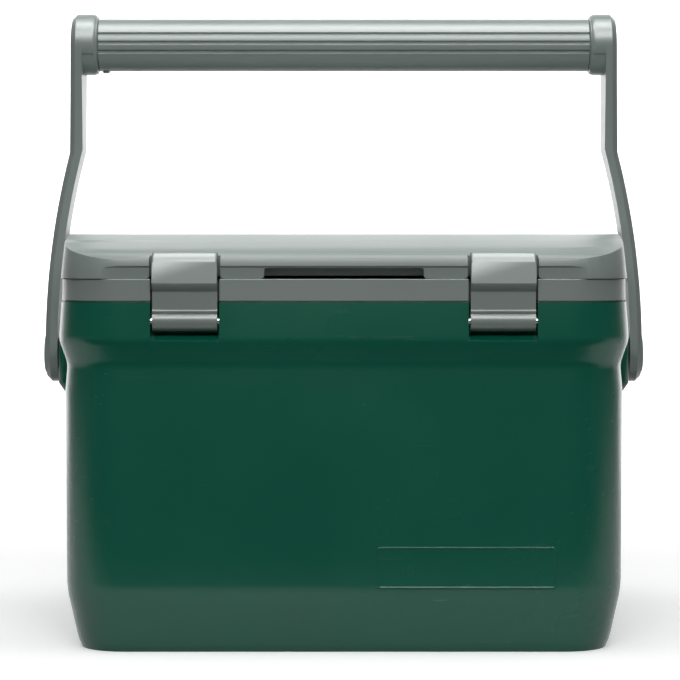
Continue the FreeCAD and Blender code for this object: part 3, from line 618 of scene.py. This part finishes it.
class COOLER_OT_lid(bpy.types.Operator):
    """Models the crowned lid with its lip, shadow groove, finger slot and latch notches"""
    bl_idname = "cooler.lid"
    bl_label = "Lid"

    def execute(self, context):
        sizes = context.scene.cooler_lid
        low, high = PLACES["lid_outer"]
        lid = rounded_stack("lid_shell", [(high[0], low[2]), (sizes.high_half_width, high[2] + 2.5 * MM)])
        boolean(lid, self.crown(), "INTERSECT")
        tidy_faces(lid, 0.2)
        front = abs(low[1])

        def outline(a, b):
            """An edge where the crown meets the front, the back or a side."""
            on_crown = max(self.crown_at(a) - a.z, self.crown_at(b) - b.z) < 0.1 * MM
            crosses = abs(a.x - b.x) > 0.2 and min(abs(a.y), abs(b.y)) < front - 2.5 * MM
            return on_crown and not crosses

        bevel(lid, outline, sizes.edge_radius, 5)
        for facing in (-1, 1):
            boolean(lid, self.scoop(facing, front))
        for name in ("latch_left", "latch_right"):
            boolean(lid, self.notch(name))
        boolean(lid, self.slot(front))
        self.open_underside(lid, low[2])
        tidy_faces(lid, 0.2)
        soften(lid, 0.7 * MM, 3, 30)
        deliver(lid, "lid", "grey_plastic", "lid_outer")
        return {"FINISHED"}

    def crown_at(self, place):
        """Height of the crown over a place: level in the middle, falling along an arc outside it."""
        sizes = bpy.context.scene.cooler_lid
        across = abs(place.y)
        if across <= sizes.crown_flat:
            return sizes.crown_height
        start = Vector((sizes.crown_flat, sizes.crown_height))
        stop = Vector((sizes.crown_reach, sizes.crown_edge))
        chord = stop - start
        back = math.sqrt(sizes.crown_radius ** 2 - (chord.length / 2) ** 2)
        inward = Vector((chord.y, -chord.x)).normalized()
        centre = (start + stop) / 2 + inward * back
        return centre.y + math.sqrt(sizes.crown_radius ** 2 - (across - centre.x) ** 2)

    def crown(self, steps=20):
        """The side view of the lid, drawn out across it."""
        sizes = bpy.context.scene.cooler_lid
        base = sizes.crown_edge - 20 * MM
        falls = [sizes.crown_flat + (sizes.crown_reach - sizes.crown_flat) * step / steps
                 for step in range(steps + 1)]
        right = [(across, self.crown_at(Vector((0, across, 0)))) for across in falls]
        left = [(-across, height) for across, height in reversed(right)]
        return drawn_out("crown", "X", 0.3, [
            (-sizes.crown_reach, base), *left, *right, (sizes.crown_reach, base),
        ])

    def scoop(self, facing, front):
        """The step under the front lip; it runs out as the corners turn away."""
        sizes = bpy.context.scene.cooler_lid
        top, depth = sizes.scoop_top, sizes.scoop_depth
        face = front - 1.0 * MM
        shape = ((0.0, 0.0), (0.3, 0.35), (0.75, 0.8), (1.0, 1.4), (1.0, 9.5))
        inner = [(facing * (face - depth * share), top - down * MM) for share, down in shape]
        outer = [(facing * (face + 10 * MM), top - shape[-1][1] * MM), (facing * (face + 10 * MM), top)]
        return drawn_out("scoop", "X", 0.17, inner + outer)

    def notch(self, name):
        """The gap that a latch passes through; its lower corners are eased."""
        sizes = bpy.context.scene.cooler_lid
        low, high = PLACES[name]
        middle, half = (low[0] + high[0]) / 2, sizes.notch_width / 2
        base = PLACES["lid_outer"][0][2]
        cutter = block("notch", (middle - half, -0.2, base - 10 * MM),
                       (middle + half, -sizes.notch_back, base + 60 * MM))
        return self.eased_foot(cutter, base, half, middle)

    def slot(self, front):
        """The finger slot under the middle of the front edge."""
        sizes = bpy.context.scene.cooler_lid
        base = PLACES["lid_outer"][0][2]
        half = sizes.slot_half_width
        cutter = block("slot", (-half, -0.2, base - 10 * MM),
                       (half, sizes.slot_depth - front, base + sizes.slot_height))
        bevel(cutter, lambda a, b: abs(a.x - b.x) < MM and min(a.z, b.z) > base, 1.6 * MM, 4)
        return self.eased_foot(cutter, base, half, 0.0)

    def eased_foot(self, cutter, base, half, middle):
        """Flares a cutter below the lid's edge, so that the corners it leaves are rounded."""
        ease = bpy.context.scene.cooler_lid.notch_corner
        activate(cutter)
        bpy.ops.object.mode_set(mode="EDIT")
        for step in range(1, 6):
            angle = step * math.pi / 10
            height = base + ease * (1 - math.sin(angle))
            bpy.ops.mesh.select_all(action="SELECT")
            bpy.ops.mesh.bisect(plane_co=(0, 0, height), plane_no=(0, 0, 1))
        finish_edit(cutter)
        for step in range(1, 6):
            angle = step * math.pi / 10
            height = base + ease * (1 - math.sin(angle))
            flare = (half + ease * (1 - math.cos(angle))) / half
            pick(cutter, "VERT", lambda at: abs(at.z - height) < 0.02 * MM)
            bpy.ops.transform.resize(value=(flare, 1, 1), center_override=(middle, 0, height))
            finish_edit(cutter)
        flare = (half + ease) / half
        pick(cutter, "VERT", lambda at: at.z < base - 5 * MM)
        bpy.ops.transform.resize(value=(flare, 1, 1), center_override=(middle, 0, base))
        return finish_edit(cutter)

    def open_underside(self, lid, base):
        """Sinks the space that the inner panel closes."""
        pick(lid, "FACE", lambda centre, normal: normal.z < -0.9 and abs(centre.z - base) < 0.1 * MM)
        bpy.ops.mesh.inset(thickness=4 * MM)
        bpy.ops.mesh.extrude_region_move(TRANSFORM_OT_translate={"value": (0, 0, 2 * MM)})
        return finish_edit(lid)


class COOLER_OT_latches(bpy.types.Operator):
    """Models a latch lever with its hook, finger lip and barrel, and copies it to the other side"""
    bl_idname = "cooler.latches"
    bl_label = "Latches"

    def execute(self, context):
        low, high = PLACES["latch_right"]
        pin_low, pin_high = PLACES["latch_pin_right"]
        y, z = (pin_low[1] + pin_high[1]) / 2, (pin_low[2] + pin_high[2]) / 2
        half = (high[0] - low[0]) / 2
        lever = drawn_out("latch_lever_right", "X", half, [
            (y - 4.1 * MM, z), (y - 4.1 * MM, z + 7.4 * MM), (y - 4.1 * MM, z + 19.2 * MM),
            (y - 4.7 * MM, z + 19.8 * MM), (y - 10.4 * MM, z + 23.5 * MM),
            (y - 11.0 * MM, z + 24.6 * MM), (y - 8.6 * MM, z + 39 * MM),
            (y - 5.6 * MM, high[2] - 0.8 * MM), (y - 4.4 * MM, high[2]),
            (high[1], high[2]), (high[1], z + 40.2 * MM),
            (y + 0.9 * MM, z + 40.2 * MM), (y + 0.9 * MM, z),
        ])
        bevel(lever, lambda a, b: abs(a.x - b.x) < MM and min(a.z, b.z) > z + 38 * MM
              and max(a.y, b.y) < y - 4 * MM, 1.6 * MM, 4)
        barrel = round_bar("barrel", (-half, y, z), (half, y, z), 6.45 * MM, 64)
        boolean(lever, barrel, "UNION")
        rib = round_bar("rib", (-half, y - 3.6 * MM, z + 6.3 * MM), (half, y - 3.6 * MM, z + 6.3 * MM),
                        1.5 * MM, 24)
        boolean(lever, rib, "UNION")
        bore = round_bar("bore", (-0.05, y, z), (0.05, y, z), 2.1 * MM, 32)
        boolean(lever, bore)
        tidy_faces(lever)
        soften(lever, 0.55 * MM, 3, 30)
        for name in ("latch_left", "latch_right"):
            low, high = PLACES[name]
            clear_selection()
            activate(lever)
            bpy.ops.object.duplicate(linked=False)
            copy = bpy.context.object
            copy.name = name + "_lever"
            move_piece(copy, x=(low[0] + high[0]) / 2)
            deliver(copy, name, "grey_plastic", name)
        bpy.data.objects.remove(lever, do_unlink=True)
        return {"FINISHED"}


class COOLER_OT_arms(bpy.types.Operator):
    """Models a bowed handle arm with its hub and rounded end, and mirrors it"""
    bl_idname = "cooler.arms"
    bl_label = "Handle arms"
    bow_radius: length("Bow radius", "Radius of the arm's bow in front view", 510 * MM)
    bow_start: length("Bow start", "Height at which the bow begins", 200 * MM)
    bend_outer: length("Outer bend", "Where the arm's outside turns upright", 190.2 * MM)
    top_outer: length("Outer top", "The arm's outside at its top", 188.4 * MM)
    waist_radius: length("Waist radius", "Radius of the arm's waisted sides in side view", 796 * MM)
    waist_turn: FloatProperty(name="Waist turn", description="Where the sides leave the round ends",
                              default=math.radians(7.5), unit="ROTATION")

    def execute(self, context):
        sizes = context.scene.cooler_handle
        low, high = PLACES["handle_arm_right"]
        hub_inner = PLACES["pivot_bush_right"][0][0]
        arm = drawn_out("arm_right", "Y", 30 * MM, self.front_outline(low, high, hub_inner))
        side = drawn_out("arm_side", "X", 0.3, self.side_outline(low, high))
        boolean(arm, side, "INTERSECT")
        tidy_faces(arm, 0.3)

        def outside_edge(a, b):
            across = abs(a.y - b.y) > 12 * MM and abs(a.z - b.z) < 0.05 * MM
            return self.outside(a, high) and self.outside(b, high) and not across

        bevel(arm, outside_edge, sizes.arm_outer_edge, 1)
        boolean(arm, self.collar(), "UNION")
        tidy_faces(arm, 0.3)
        soften(arm, sizes.arm_edge, 3, 24)
        other = twin(arm, "elbow_left")
        arm.name = "elbow_right"
        deliver(arm, "handle", "grey_plastic", "handle_arm_right", "grip_collar_right")
        deliver(other, "handle", "grey_plastic", "handle_arm_left", "grip_collar_left")
        return {"FINISHED"}

    def rise(self, foot, stop):
        """How far over its start a bowed face reaches a given distance from the middle."""
        return math.sqrt(self.bow_radius ** 2 - (stop - foot + self.bow_radius) ** 2)

    def bowed(self, foot, stop, count=14):
        """Points up one bowed face, from the hub to where it turns upright."""
        end = math.asin(self.rise(foot, stop) / self.bow_radius)
        return [(foot - self.bow_radius * (1 - math.cos(end * step / count)),
                 self.bow_start + self.bow_radius * math.sin(end * step / count))
                for step in range(count + 1)]

    def outside(self, place, high):
        """Whether a point lies on the arm's outer face."""
        bend = self.bow_start + self.rise(high[0], self.bend_outer)
        if place.z < self.bow_start:
            face = high[0]
        elif place.z < bend:
            over = place.z - self.bow_start
            face = high[0] - self.bow_radius + math.sqrt(self.bow_radius ** 2 - over ** 2)
        else:
            share = (place.z - bend) / (high[2] + MM - bend)
            face = self.bend_outer + (self.top_outer - self.bend_outer) * share
        return abs(place.x - face) < 0.15 * MM

    def front_outline(self, low, high, hub_inner):
        outer = self.bowed(high[0], self.bend_outer)
        inner = self.bowed(hub_inner, low[0])
        return [(hub_inner, low[2] - MM), (high[0], low[2] - MM), *outer, (self.top_outer, high[2] + MM),
                (low[0], high[2] + MM), *reversed(inner)]

    def side_outline(self, low, high):
        """The hub's circle, a waist and the end's circle."""
        bush, collar = PLACES["pivot_bush_right"], PLACES["grip_collar_right"]
        pivot, grip = (bush[0][2] + bush[1][2]) / 2, (collar[0][2] + collar[1][2]) / 2
        hub, end = pivot - low[2], high[2] - grip
        lean = self.waist_turn
        turns = [(math.pi + 2 * lean) * step / 32 for step in range(33)]
        foot = [(hub * math.cos(turn - math.pi - lean), pivot + hub * math.sin(turn - math.pi - lean))
                for turn in turns]
        head = [(end * math.cos(turn - lean), grip + end * math.sin(turn - lean)) for turn in turns]
        flank = self.flank(Vector(foot[-1]), Vector(head[0]))
        return [*foot, *flank, *head, *((-across, height) for across, height in reversed(flank))]

    def flank(self, start, stop, count=20):
        """Points up one hollow side between the two circles."""
        chord = stop - start
        outward = Vector((chord.y, -chord.x)).normalized()
        centre = (start + stop) / 2 + outward * math.sqrt(self.waist_radius ** 2 - (chord.length / 2) ** 2)
        heights = [start.y + chord.y * step / count for step in range(1, count)]
        return [(centre.x - math.sqrt(self.waist_radius ** 2 - (height - centre.y) ** 2), height)
                for height in heights]

    def collar(self):
        """The chamfered collar at the grip's end, with a shoulder over its front, top and back."""
        low, high = PLACES["grip_collar_right"]
        height, radius = (low[2] + high[2]) / 2, high[1]
        edge = bpy.context.scene.cooler_handle.collar_edge
        collar = round_bar("collar", (low[0], 0, height), (high[0] + 2 * MM, 0, height),
                           radius - 0.8 * MM, 96)
        bevel(collar, lambda a, b: max(a.x, b.x) < low[0] + 0.1 * MM, edge - 0.8 * MM, 2)
        shoulder = round_bar("shoulder", (low[0] + 0.4 * MM, 0, height), (high[0] + 3 * MM, 0, height),
                             radius - 0.05 * MM, 96)
        bevel(shoulder, lambda a, b: max(a.x, b.x) < low[0] + MM, edge, 4)
        under = block("under", (low[0] - MM, -0.1, height - 60 * MM),
                      (high[0] + 9 * MM, 0.1, height - 7.2 * MM))
        boolean(shoulder, under)
        return boolean(collar, shoulder, "UNION")


class COOLER_OT_grip(bpy.types.Operator):
    """Models the grip with its finger grooves, the hub caps and the screw"""
    bl_idname = "cooler.grip"
    bl_label = "Grip and caps"

    def execute(self, context):
        sizes = context.scene.cooler_handle
        low, high = PLACES["grip_sleeve"]
        core = PLACES["grip_core_tube"]
        height, radius = (core[0][2] + core[1][2]) / 2, high[1]
        grip = round_bar("grip_visible", (low[0], 0, height), (high[0], 0, height), radius,
                         sizes.grip_facets)
        facet = 2 * math.pi / sizes.grip_facets
        for degrees in (22.4, 1.3, -16.9, 157.6, 178.7, 196.9):
            angle = math.radians(degrees)
            middle = (round(angle / facet - 0.5) + 0.5) * facet

            def in_groove(at):
                here = math.atan2(at.z - height, at.y)
                away = (here - middle + math.pi) % (2 * math.pi) - math.pi
                return abs(away) < 0.6 * facet

            pick(grip, "VERT", in_groove)
            share = 1 - sizes.groove_depth / radius
            bpy.ops.transform.resize(value=(1, share, share), center_override=(0, 0, height))
            finish_edit(grip)
        soften(grip, 0.25 * MM, 2, 40)
        deliver(grip, "handle", "grey_plastic", "grip_sleeve")
        self.caps()
        self.screw()
        return {"FINISHED"}

    def caps(self):
        low, high = PLACES["hub_cap_right"]
        middle = (low[2] + high[2]) / 2
        cap = round_bar("cap_right", (low[0] - 0.4 * MM, 0, middle), (high[0], 0, middle), 13.6 * MM, 96)
        bevel(cap, lambda a, b: min(a.x, b.x) > high[0] - 0.1 * MM, 1.1 * MM, 3)
        pick(cap, "FACE", lambda centre, normal: normal.x > 0.99)
        bpy.ops.mesh.inset(thickness=4 * MM)
        bpy.ops.transform.translate(value=(-0.5 * MM, 0, 0))
        finish_edit(cap)
        soften(cap, 0.3 * MM, 2, 20)
        other = twin(cap, "cap_left")
        deliver(cap, "handle", "grey_plastic", "hub_cap_right")
        deliver(other, "handle", "grey_plastic", "hub_cap_left")

    def screw(self):
        low, high = PLACES["grip_screw"]
        x, y, radius = (low[0] + high[0]) / 2, (low[1] + high[1]) / 2, (high[0] - low[0]) / 2
        screw = round_bar("grip_screw_visible", (x, y, low[2]), (x, y, low[2] + 3 * MM), radius, 32)
        bevel(screw, lambda a, b: max(a.z, b.z) < low[2] + 0.1 * MM, 1.0 * MM, 4)
        for across, along in ((1.6, 0.4), (0.4, 1.6)):
            cross = block("cross", (x - across * MM, y - along * MM, low[2] - MM),
                          (x + across * MM, y + along * MM, low[2] + 0.9 * MM))
            boolean(screw, cross)
        activate(screw)
        bpy.ops.object.shade_smooth_by_angle(angle=math.radians(35))
        deliver(screw, "handle", "steel", "grip_screw")


class COOLER_OT_badge(bpy.types.Operator):
    """Models the blank badge, a shallow panel with a raised border"""
    bl_idname = "cooler.badge"
    bl_label = "Blank badge"

    def execute(self, context):
        low, high = PLACES["blank_badge"]
        badge = block("badge", low, high)
        bevel(badge, lambda a, b: abs(a.y - b.y) > MM, 2.5 * MM, 6)
        pick(badge, "FACE", lambda centre, normal: normal.y < -0.99)
        bpy.ops.mesh.inset(thickness=0.9 * MM)
        bpy.ops.mesh.extrude_region_move(TRANSFORM_OT_translate={"value": (0, 0.55 * MM, 0)})
        finish_edit(badge)
        soften(badge, 0.25 * MM, 2, 30)
        deliver(badge, "chest", "green_shell", "blank_badge")
        return {"FINISHED"}


class COOLER_OT_carried(bpy.types.Operator):
    """Gives the frame nodes that stay in view, such as the liner and hinges, their finishes"""
    bl_idname = "cooler.carried"
    bl_label = "Liner, hinges and hardware"

    def execute(self, context):
        for part in frame["record"]["subparts"]:
            node = frame["nodes"][part["node"]]
            finish = finish_for(part["material_slot"])
            if not node.material_slots:
                node.data.materials.append(finish)
            for place in node.material_slots:
                place.material = finish
        return {"FINISHED"}


class COOLER_OT_stage(bpy.types.Operator):
    """Sets the pale sweep, the soft lights and the camera"""
    bl_idname = "cooler.stage"
    bl_label = "Stage"
    distance: length("Camera distance", "From the camera to the middle of the chest", 1.8)
    camera_height: length("Camera height", "Height of the camera over the floor", 0.262)
    aim_height: length("Aim height", "Height that the camera looks at", 0.1998)
    camera_offset: FloatProperty(name="Camera offset", description="Camera's place to the right",
                                 default=-2.6 * MM, unit="LENGTH")

    def execute(self, context):
        self.sweep()
        self.card()
        self.lights()
        scene = context.scene
        data = bpy.data.cameras.new("Camera")
        data.lens = 136.1
        data.sensor_width = 36.0
        camera = bpy.data.objects.new("Camera", data)
        scene.collection.objects.link(camera)
        camera.location = (self.camera_offset, -self.distance, self.camera_height)
        aim = Vector((self.camera_offset, 0, self.aim_height))
        camera.rotation_euler = (aim - camera.location).to_track_quat("-Z", "Y").to_euler()
        scene.camera = camera
        return {"FINISHED"}

    def sweep(self):
        """A floor that curves up into a backdrop behind the chest."""
        clear_selection()
        bpy.ops.mesh.primitive_plane_add(size=1, location=(0, 0, 0))
        floor = bpy.context.object
        floor.name = "studio_sweep"
        floor.scale = (14, 8, 1)
        settle(floor)
        pick(floor, "EDGE", lambda a, b: a.y > 3.9 and b.y > 3.9)
        bpy.ops.mesh.extrude_region_move(TRANSFORM_OT_translate={"value": (0, 0, 5)})
        finish_edit(floor)
        bevel(floor, lambda a, b: abs(a.z) < MM and abs(b.z) < MM and a.y > 3.9 and b.y > 3.9, 2.0, 24)
        activate(floor)
        bpy.ops.object.shade_smooth()
        floor.data.materials.append(self.paper())
        floor.visible_diffuse = False

    def paper(self):
        """Pale studio paper, lit a little from within so that it stays white."""
        material = plastic("Studio paper", settings()[3].floor, 0.85, 0.02 * MM, 400.0, 0.0, 0.0)
        nodes, links = material.node_tree.nodes, material.node_tree.links
        shader = nodes["Principled BSDF"]
        tone = shader.inputs["Base Color"].links[0].from_socket
        links.new(tone, shader.inputs["Emission Color"])
        shader.inputs["Emission Strength"].default_value = 0.35
        return material

    def card(self):
        """A black card on the floor in front, hidden from the camera and seen only in reflections: a painted
        dark reflection in the lower faces that keeps the green deep.
        """
        card = block("black_card", (-2.0, -2.6, 0.0), (2.0, -0.32, 0.002))
        card.data.materials.append(plastic("Black card", (0.01, 0.01, 0.01), 0.9, 0.02 * MM, 400.0, 0.0, 0.0))
        card.visible_camera = False
        card.visible_diffuse = False
        card.visible_shadow = False

    def lights(self):
        world = bpy.data.worlds.new("Studio")
        world.use_nodes = True
        back = world.node_tree.nodes["Background"]
        back.inputs["Color"].default_value = (1.0, 1.0, 1.0, 1.0)
        back.inputs["Strength"].default_value = 0.07
        bpy.context.scene.world = world
        bpy.context.scene.view_settings.view_transform = "Standard"
        self.area("Overhead", (0.0, -0.1, 2.0), (0, 0, 0.25), 1.9, 1.0, 22)
        self.area("Front above", (0.0, -2.0, 1.5), (0, 0, 0.25), 1.6, 0.6, 20)
        self.area("Front sheen", (0.0, -1.5, 1.7), (0, 0, 0.3), 2.4, 0.9, 70, False)
        self.area("Top sheen", (0.0, -0.4, 1.9), (0, 0, 0.3), 2.4, 0.8, 60, False)
        self.area("Backdrop left", (-1.8, 1.6, 1.6), (-0.6, 3.9, 1.0), 1.6, 1.6, 95)
        self.area("Backdrop right", (1.8, 1.6, 1.6), (0.6, 3.9, 1.0), 1.6, 1.6, 95)

    def area(self, name, place, aim, width, height, power, diffuse=True):
        """A rectangular lamp; without diffuse it shows only as a highlight."""
        data = bpy.data.lights.new(name, "AREA")
        data.shape = "RECTANGLE"
        data.size, data.size_y = width, height
        data.energy = power
        lamp = bpy.data.objects.new(name, data)
        bpy.context.scene.collection.objects.link(lamp)
        lamp.location = place
        lamp.visible_diffuse = diffuse
        lamp.rotation_euler = (Vector(aim) - lamp.location).to_track_quat("-Z", "Y").to_euler()


class COOLER_PT_panel(bpy.types.Panel):
    """Lists the pieces of the cooler in the sidebar"""
    bl_idname = "COOLER_PT_panel"
    bl_label = "Picnic cooler"
    bl_space_type = "VIEW_3D"
    bl_region_type = "UI"
    bl_category = "Cooler"

    def draw(self, context):
        for step in STEPS:
            self.layout.operator(step.bl_idname)
        for group in ("cooler_shell", "cooler_lid", "cooler_handle", "cooler_colours"):
            box = self.layout.box()
            owner = getattr(context.scene, group)
            for name in owner.bl_rna.properties.keys():
                if name not in ("rna_type", "name"):
                    box.prop(owner, name)


GROUPS = {"cooler_shell": ShellSizes, "cooler_lid": LidSizes, "cooler_handle": HandleSizes,
          "cooler_colours": CoolerColours}
STEPS = (COOLER_OT_carried, COOLER_OT_shell, COOLER_OT_rim, COOLER_OT_lid, COOLER_OT_latches,
         COOLER_OT_arms, COOLER_OT_grip, COOLER_OT_badge, COOLER_OT_stage)
CLASSES = (*GROUPS.values(), *STEPS, COOLER_PT_panel)


def register():
    for item in CLASSES:
        bpy.utils.register_class(item)
    for name, kind in GROUPS.items():
        setattr(bpy.types.Scene, name, PointerProperty(type=kind))


def unregister():
    for name in GROUPS:
        delattr(bpy.types.Scene, name)
    for item in reversed(CLASSES):
        bpy.utils.unregister_class(item)


def main():
    register()
    for step in STEPS:
        family, action = step.bl_idname.split(".")
        getattr(getattr(bpy.ops, family), action)()


if __name__ == "__main__":
    main()
